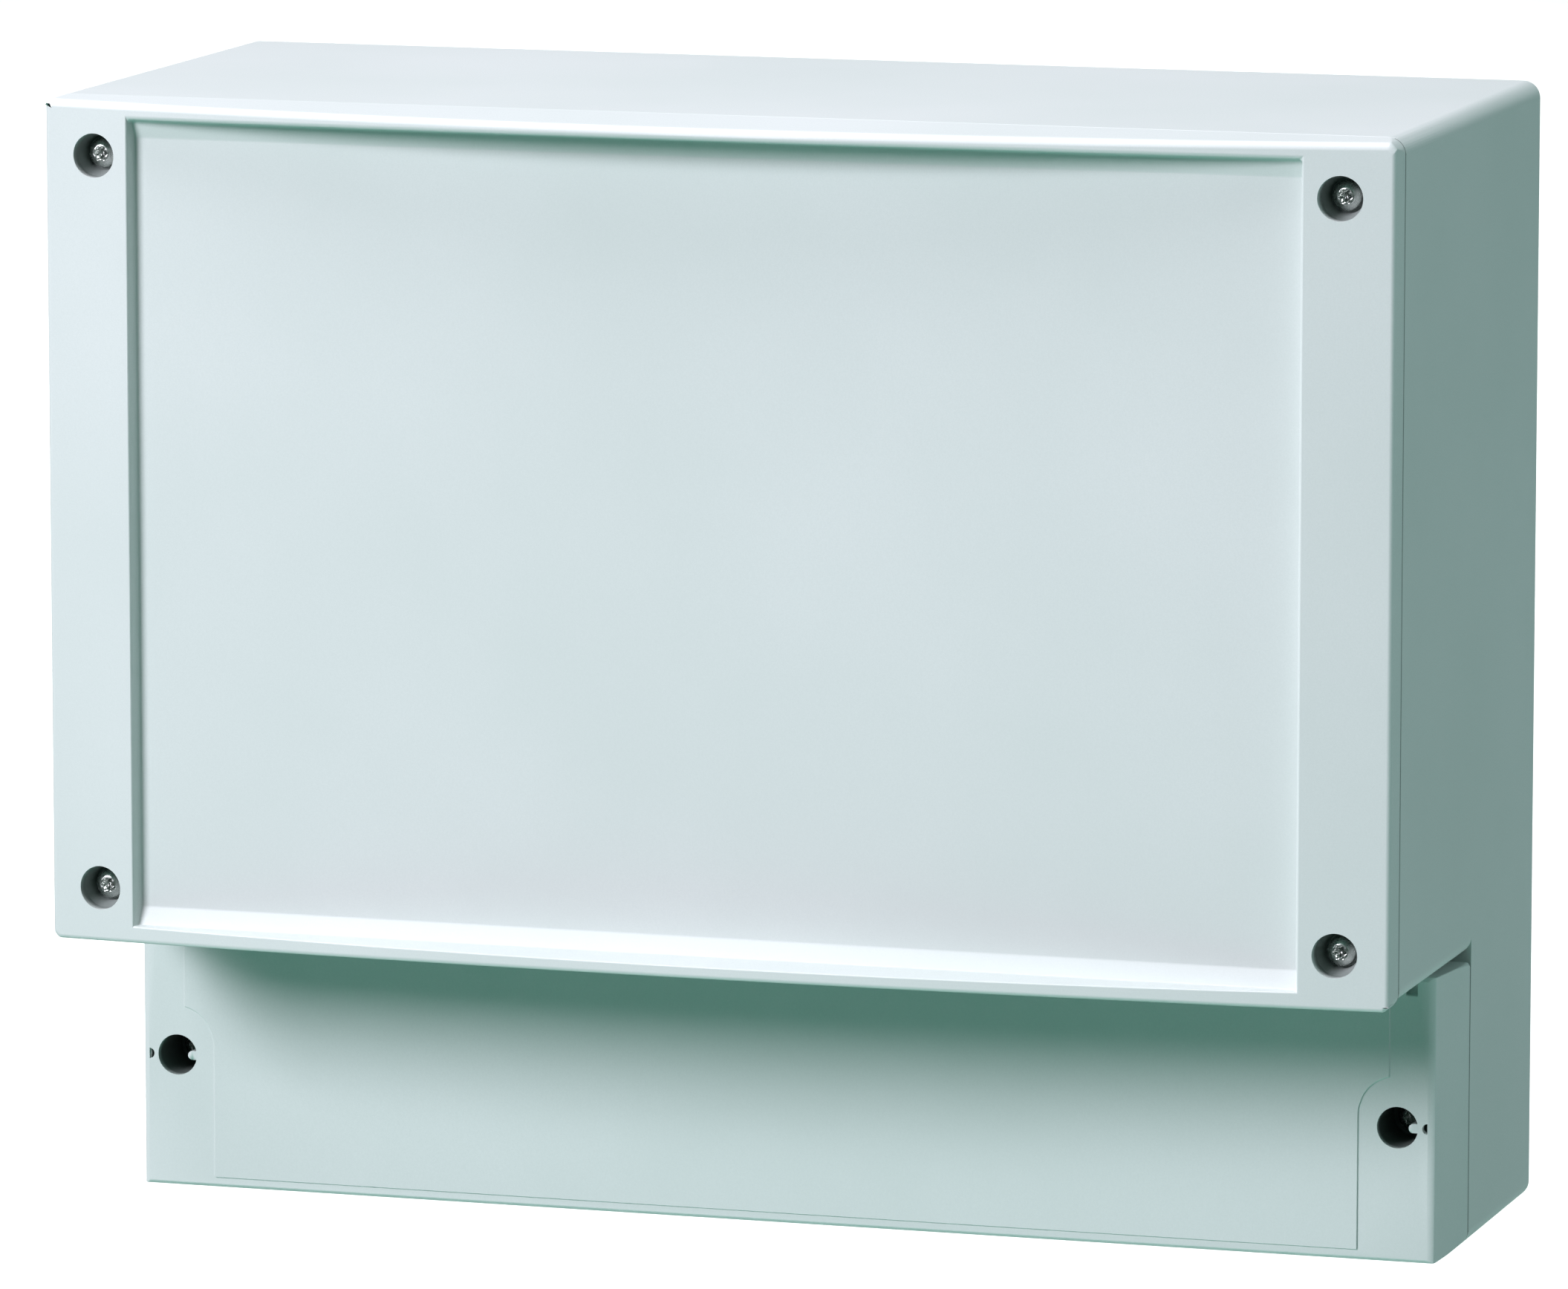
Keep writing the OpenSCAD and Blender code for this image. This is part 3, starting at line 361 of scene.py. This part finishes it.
def circuit_board():
    """Solder mask over a maze of copper tracks, with plated holes."""
    m = Nodes("circuit_board")
    tracks = m.add("ShaderNodeTexBrick", offset=0.37, squash=1.7, squash_frequency=3)
    mapping = m.add("ShaderNodeMapping")
    mapping.inputs["Rotation"].default_value = (math.radians(90), 0, 0)
    m.link(m.position, mapping.inputs["Vector"])
    m.link(mapping.outputs["Vector"], tracks.inputs["Vector"])
    maze = {"Scale": 95.0, "Mortar Size": 0.035, "Mortar Smooth": 0.2, "Row Height": 0.16}
    for name, value in maze.items():
        tracks.inputs[name].default_value = value
    patches = m.noise(46, 1.0, 0.4)
    routed = m.math("MULTIPLY", tracks.outputs["Fac"], m.spread(patches, 0.0, 1.0, 0.46, 0.5))
    pads = m.voronoi(210, stretch=(1, 0.01, 1))
    bare_patches = m.spread(patches, 1.0, 0.0, 0.52, 0.56)
    drilled = m.math("MULTIPLY", m.math("LESS_THAN", pads, 0.16), bare_patches)
    mask = m.mix(routed, srgb(18, 74, 40), srgb(38, 112, 62))
    m.base(m.mix(drilled, mask, srgb(190, 184, 150)))
    m.rough(m.spread(patches, 0.28, 0.42))
    m.put(Coat_Weight=0.35, Coat_Roughness=0.2)
    m.bump(m.math("ADD", routed, drilled), 0.35, 0.00006)
    return m.material


def winding_tape():
    """Yellow tape in level layers."""
    m = Nodes("winding_tape")
    layers = m.add("ShaderNodeTexWave", bands_direction="Z")
    m.link(m.position, layers.inputs["Vector"])
    for name, value in (("Scale", 190.0), ("Distortion", 0.6), ("Detail", 2.0)):
        layers.inputs[name].default_value = value
    m.base(m.mix(layers.outputs["Fac"], srgb(206, 160, 34), srgb(236, 198, 66)))
    m.rough(m.spread(layers.outputs["Fac"], 0.25, 0.4, 0.0, 1.0))
    m.bump(layers.outputs["Fac"], 0.2, 0.0001)
    return m.material


def lens(name, colour):
    """Diffused lamp body that lets some light through."""
    m = Nodes(name)
    haze = m.noise(700, 2.0, 0.5)
    m.base(m.mix(m.spread(haze, 0.0, 1.0), shade(colour, 0.8), colour))
    m.rough(m.spread(haze, 0.12, 0.24))
    m.put(Transmission_Weight=0.35, IOR=1.5, Coat_Weight=0.4, Coat_Roughness=0.08)
    return m.material


def fuse_glass():
    """Hazy glass of the fuse tubes."""
    m = Nodes("fuse_glass")
    haze = m.noise(500, 2.0, 0.5)
    m.base(m.mix(m.spread(haze, 0.0, 1.0), srgb(212, 222, 222), srgb(236, 242, 242)))
    m.rough(m.spread(haze, 0.05, 0.14))
    m.put(Transmission_Weight=0.6, IOR=1.5)
    return m.material


PLASTIC = enclosure_plastic()
STEEL = screw_steel()
FINISHES = {
    "enclosure": PLASTIC,
    "gasket": rubber(),
    "screw_steel": STEEL,
    "brass": turned_metal("brass", srgb(176, 140, 62), srgb(216, 182, 98), 0.24, 0.4),
    "plate_steel": plate_steel(),
    "board_green": circuit_board(),
    "dark_plastic": moulded("dark_plastic", srgb(44, 45, 48), 0.38, 0.55),
    "ferrite": moulded("ferrite", srgb(52, 52, 55), 0.6, 0.8, 900, 0.0002),
    "winding_tape": winding_tape(),
    "capacitor_sleeve": moulded("capacitor_sleeve", srgb(36, 44, 84), 0.16, 0.26),
    "aluminium": turned_metal("aluminium", srgb(170, 174, 176), srgb(206, 209, 211), 0.3, 0.48),
    "battery_case": moulded("battery_case", srgb(66, 69, 74), 0.45, 0.62, 800, 0.00015),
    "relay_case": moulded("relay_case", srgb(70, 112, 172), 0.2, 0.32),
    "terminal_green": moulded("terminal_green", srgb(52, 140, 84), 0.28, 0.42),
    "terminal_ivory": moulded("terminal_ivory", srgb(228, 222, 200), 0.35, 0.5),
    "lens_red": lens("lens_red", srgb(204, 34, 28)),
    "lens_amber": lens("lens_amber", srgb(240, 156, 34)),
    "lens_green": lens("lens_green", srgb(68, 182, 84)),
    "button_red": moulded("button_red", srgb(190, 44, 36), 0.22, 0.34),
    "button_yellow": moulded("button_yellow", srgb(222, 178, 50), 0.22, 0.34),
    "button_green": moulded("button_green", srgb(52, 142, 82), 0.22, 0.34),
    "button_grey": moulded("button_grey", srgb(132, 138, 142), 0.22, 0.34),
    "fuse_glass": fuse_glass(),
}
SLOT_OF = {part["node"]: part["material_slot"] for part in frame["record"]["subparts"]}
BODY_OF = {}
for body_name, body_nodes in frame["record"]["behaviour"]["bodies"].items():
    BODY_OF.update(dict.fromkeys(body_nodes, body_name))


# ---- enclosure ----

LID_R = 1.1 * MM                            # front rounding at the lid's sides and bottom
LID_TOP_R = 2.0 * MM                        # front rounding at the lid's top
RECESS_R = 0.35 * MM
SHELL_R = 0.3 * MM
COVER_R = 0.25 * MM
MOULDED_HARD = 9                            # degrees beyond which an enclosure edge is a real one


def near(value, target, reach):
    """True within reach of the target."""
    return abs(value - target) < reach


def on_hole(place, *screws):
    """True near the rim or wall of a screw hole, on either side."""
    reach = 6.2 * MM
    return any(math.hypot(abs(place.x) - screw.x, place.z - screw.z) < reach for screw in screws)


def lid_radius(place):
    """Soft top edge, smaller rounding at the sides and bottom, crisp parting edge and holes."""
    if place.y > PART_Y - 1.0 * MM or on_hole(place, LID_SCREW, LID_SCREW_LOW):
        return 0
    if place.y < LID_EDGE_Y + 0.4 * MM:
        risen = max(0.0, 1 - (lid_hi.z - 0.9 * MM - place.z) / CORNER_R)
        at_side = abs(place.x) > lid_hi.x - 3.0 * MM
        at_bottom = place.z < lid_lo.z + 3.0 * MM
        if risen or at_side or at_bottom:
            return LID_R + (LID_TOP_R - LID_R) * min(1.0, risen)
    return RECESS_R


def shell_radius(place):
    """Small rounding at the back and at the step, crisp parting edges."""
    if near(place.y, PART_Y, 4 * MM) or near(place.y, RIM_Y, 4 * MM):
        return 0
    return SHELL_R


def cover_radius(place):
    """Crisp parting edge and crisp little features beside the screw holes, soft elsewhere."""
    beside_hole = near(place.z, COVER_SCREW.z, 1.7 * MM) and abs(place.x) > COVER_SCREW.x
    at_pocket = near(abs(place.x), POCKET_X + 0.1 * MM, 0.3 * MM)
    if place.y > RIM_Y - 1.0 * MM or beside_hole or at_pocket or on_hole(place, COVER_SCREW):
        return 0
    return COVER_R


def break_seam(bm, seam_y, towards, low_z, high_z):
    """Chamfers a part's outline at seam_y, on the side of it given by towards, as half a groove."""
    depth = 0.16 * MM
    width = 0.22 * MM
    cut = (0, seam_y + towards * width, 0)
    everything = bm.faces[:] + bm.edges[:] + bm.verts[:]
    bmesh.ops.bisect_plane(bm, geom=everything, plane_co=cut, plane_no=(0, 1, 0))
    half_x = shell_hi.x - CORNER_R
    for vert in bm.verts:
        if not near(vert.co.y, seam_y, 0.01 * MM) or not low_z <= vert.co.z <= high_z:
            continue
        core = Vector((max(-half_x, min(half_x, vert.co.x)), vert.co.y,
                       max(low_z + CORNER_R, min(high_z - CORNER_R, vert.co.z))))
        outward = vert.co - core
        if outward.length > CORNER_R - 0.1 * MM:
            vert.co -= outward.normalized() * depth


def build_enclosure():
    """Lid, cover and shell, with rounded edges and a groove where they meet."""
    front, back = -1, 1
    bm = welded("upper_lid")
    break_seam(bm, PART_Y, front, lid_lo.z, lid_hi.z)
    lid = add_piece("lid", bm, PLASTIC, "lid", ["upper_lid"])
    round_edges(lid, lid_radius, LID_TOP_R, 4, MOULDED_HARD)
    bm = welded("terminal_cover")
    break_seam(bm, RIM_Y, front, cover_lo.z, cover_hi.z)
    cover = add_piece("cover", bm, PLASTIC, "cover", ["terminal_cover"])
    round_edges(cover, cover_radius, COVER_R, 3, MOULDED_HARD)
    bm = welded("back_shell")
    break_seam(bm, PART_Y, back, lid_lo.z + LID_DROP, shell_hi.z)
    break_seam(bm, RIM_Y, back, shell_lo.z, cover_hi.z)
    shell = add_piece("shell", bm, PLASTIC, "enclosure", ["back_shell"])
    round_edges(shell, shell_radius, SHELL_R, 3, MOULDED_HARD)


# ---- screws ----

HEAD_H = 2.8 * MM
SHANK_R = 1.95 * MM
THREAD_PITCH = 0.7 * MM


def ring(centre, y, radii):
    """Points round an axis along y, one for each radius."""
    points = []
    for step, radius in enumerate(radii):
        turn = 2 * math.pi * step / len(radii)
        across, up = radius * math.cos(turn), radius * math.sin(turn)
        points.append((centre.x + across, centre.y + y, centre.z + up))
    return points


def skin(bm, rings):
    """A closed tube through rings of points, from the one with the highest y, capped at both ends."""
    loops = [[bm.verts.new(point) for point in points] for points in rings]
    for lower, upper in zip(loops, loops[1:]):
        for i in range(len(lower)):
            j = (i + 1) % len(lower)
            bm.faces.new((lower[i], lower[j], upper[j], upper[i]))
    bm.faces.new(loops[-1])
    bm.faces.new(list(reversed(loops[0])))


def screw_head(bm, centre, radius):
    """Domed head with a six-lobed recess, its face towards -y."""
    around = 72
    lobes = 6
    lobe_depth = 0.16
    star_r = 0.42 * radius
    star = [1 + lobe_depth * math.cos(lobes * 2 * math.pi * step / around) for step in range(around)]
    # Share of the radius and of the height, from the rim to the dome, then down into the recess
    dome = ((1.0, 0.0), (1.0, 0.25), (0.93, 0.52), (0.78, 0.76), (0.62, 0.92))
    recess = ((1.12, 1.0), (1.0, 0.97), (0.92, 0.9), (0.84, 0.28))
    rings = []
    for share, rise in dome:
        rings.append(ring(centre, -rise * HEAD_H, [share * radius] * around))
    for share, rise in recess:
        rings.append(ring(centre, -rise * HEAD_H, [share * star_r * wave for wave in star]))
    skin(bm, rings)


def shank(bm, centre, length):
    """Threaded shank from the head back along +y, as a wound ridge on a rod."""
    around = 24
    rows_per_turn = 4
    groove_depth = 0.16
    rows = rows_per_turn * int(length / THREAD_PITCH)
    rings = []
    for row in range(rows + 1):
        y = length * row / rows
        fade = min(1.0, row / rows_per_turn, (rows - row) / rows_per_turn)
        radii = []
        for step in range(around):
            below_crest = abs((y / THREAD_PITCH - step / around) % 1.0 - 0.5) * 2
            radii.append(SHANK_R * (1 - groove_depth * below_crest * fade))
        rings.append(ring(centre, y, radii))
    skin(bm, rings[::-1])


def build_screws():
    """The six screws of the lid and the cover."""
    overlap = Vector((0, 0.3 * MM, 0))
    starts = ("lid_screw_", "cover_screw_")
    for node in [name for name in frame["nodes"] if name.startswith(starts) and "rings" not in name]:
        low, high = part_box(node)
        centre = Vector(((low.x + high.x) / 2, low.y + HEAD_H, (low.z + high.z) / 2))
        bm = bmesh.new()
        screw_head(bm, centre, (high.x - low.x) / 2)
        shank(bm, centre - overlap, high.y - centre.y + overlap.y)
        bmesh.ops.recalc_face_normals(bm, faces=bm.faces)
        add_piece(node + "_detail", bm, STEEL, BODY_OF[node], [node])


# ---- the other pieces ----

# Edge radius of each moulded or bent inner part, in millimetres
SOFTENED = {
    "battery_left": 0.8, "battery_right": 0.8, "output_relays": 0.35, "psu_core": 0.4,
    "psu_winding": 0.3, "psu_capacitors": 0.5, "board_capacitors": 0.4, "sounder": 0.5,
    "board_headers": 0.15, "field_terminals": 0.15, "mains_terminal": 0.25,
    "button_bases": 0.25, "evacuate_button": 0.3, "silence_button": 0.3, "reset_button": 0.3,
    "test_button": 0.3, "tamper_body": 0.3, "mains_fuse_carrier": 0.2, "key": 0.3,
    "key_barrel": 0.2, "key_switch_body": 0.3, "earth_bar": 0.3, "board_chips": 0.12,
    "psu_terminals": 0.2, "battery_strap": 0.2, "battery_tabs": 0.1, "psu_tray": 0.15,
    "gear_plate": 0.15, "entry_grommets": 0.3, "pass_grommets": 0.3,
}


def build_inside():
    """Softened parts get rounded edges; the other nodes keep the frame's shape with a new finish."""
    for node, millimetres in SOFTENED.items():
        slot = SLOT_OF[node]
        radius = millimetres * MM
        piece = add_piece(node + "_detail", welded(node), FINISHES[slot], BODY_OF[node], [node])
        round_edges(piece, lambda place: radius, radius, 2)
    for node, obj in frame["nodes"].items():
        if not obj.hide_render:
            obj.data.materials.clear()
            obj.data.materials.append(FINISHES[SLOT_OF[node]])


# ---- camera, floor and light ----

CAMERA_PLACE = Vector((0.85106, -2.82467, 0.44870))
CAMERA_TARGET = Vector((0.01775, -0.145, 0.01356))
CAMERA_YAW = math.atan2(CAMERA_PLACE.x - CAMERA_TARGET.x, CAMERA_TARGET.y - CAMERA_PLACE.y)
FLOOR_Z = -1.3
# Name, place, target, size, watts, colour, spread in degrees
LIGHTS = (
    ("key", (-1.5, -2.5, 1.3), (0, -0.1, 0), (1.2, 1.15), 15, (1, 0.965, 1.06), 60),
    ("top", (-0.3, -0.35, 2.2), (0, -0.1, 0), (1.4, 1.0), 9.5, (1, 0.94, 1.03), 70),
    ("right", (2.2, 0.0, 0.5), (0, -0.08, 0), (1.2, 1.2), 4.8, (0.72, 1, 1), 90),
    ("low", (0, -0.5, -1.2), (0, -0.1, 0), (1.2, 0.8), 1.5, (0.1, 1, 0.7), 90),
)


def look_at(obj, target):
    """Turns a camera or light to face a point."""
    obj.rotation_mode = "QUATERNION"
    obj.rotation_quaternion = (Vector(target) - obj.location).to_track_quat("-Z", "Y")


def build_camera():
    """A long lens, from the right of the front and a little above."""
    data = bpy.data.cameras.new("camera")
    data.lens = 253.3
    data.sensor_width = 36.0
    data.clip_end = 20
    camera = bpy.data.objects.new("camera", data)
    camera.location = CAMERA_PLACE
    bpy.context.scene.collection.objects.link(camera)
    look_at(camera, CAMERA_TARGET)
    bpy.context.scene.camera = camera


def area_light(name, place, target, size, power, colour, spread):
    """A rectangular soft light."""
    data = bpy.data.lights.new(name, "AREA")
    data.shape = "RECTANGLE"
    data.size, data.size_y = size
    data.energy = power
    data.color = colour
    data.spread = math.radians(spread)
    light = bpy.data.objects.new(name, data)
    light.location = place
    bpy.context.scene.collection.objects.link(light)
    look_at(light, target)
    return light


def build_studio():
    """Pale floor that fills the picture's background, soft lights and a dim even sky."""
    floor_material = Nodes("floor")
    specks = floor_material.noise(6, 2.0, 0.5)
    floor_material.base(floor_material.mix(specks, srgb(218, 220, 220), srgb(224, 226, 226)))
    floor_material.put(Roughness=0.8)
    bpy.ops.mesh.primitive_plane_add(size=80, location=(0, 0, FLOOR_Z))
    floor = bpy.context.object
    floor.name = "floor"
    floor.data.materials.append(floor_material.material)
    for light in LIGHTS:
        area_light(*light)
    # Lies level over the floor behind the object, turned along the view, to whiten the background
    back = area_light("back", (-3.1, 9.8, -0.1), (-3.1, 9.8, FLOOR_Z), (3.6, 13), 330, (1, 1, 1), 180)
    back.rotation_mode = "XYZ"
    back.rotation_euler = (0, 0, CAMERA_YAW)
    world = bpy.data.worlds.new("studio")
    world.use_nodes = True
    background = world.node_tree.nodes["Background"]
    background.inputs["Color"].default_value = (0.62, 0.95, 0.84, 1.0)
    background.inputs["Strength"].default_value = 0.10
    bpy.context.scene.world = world
    bpy.context.scene.view_settings.view_transform = "Standard"


build_camera()
build_enclosure()
build_screws()
build_inside()
build_studio()
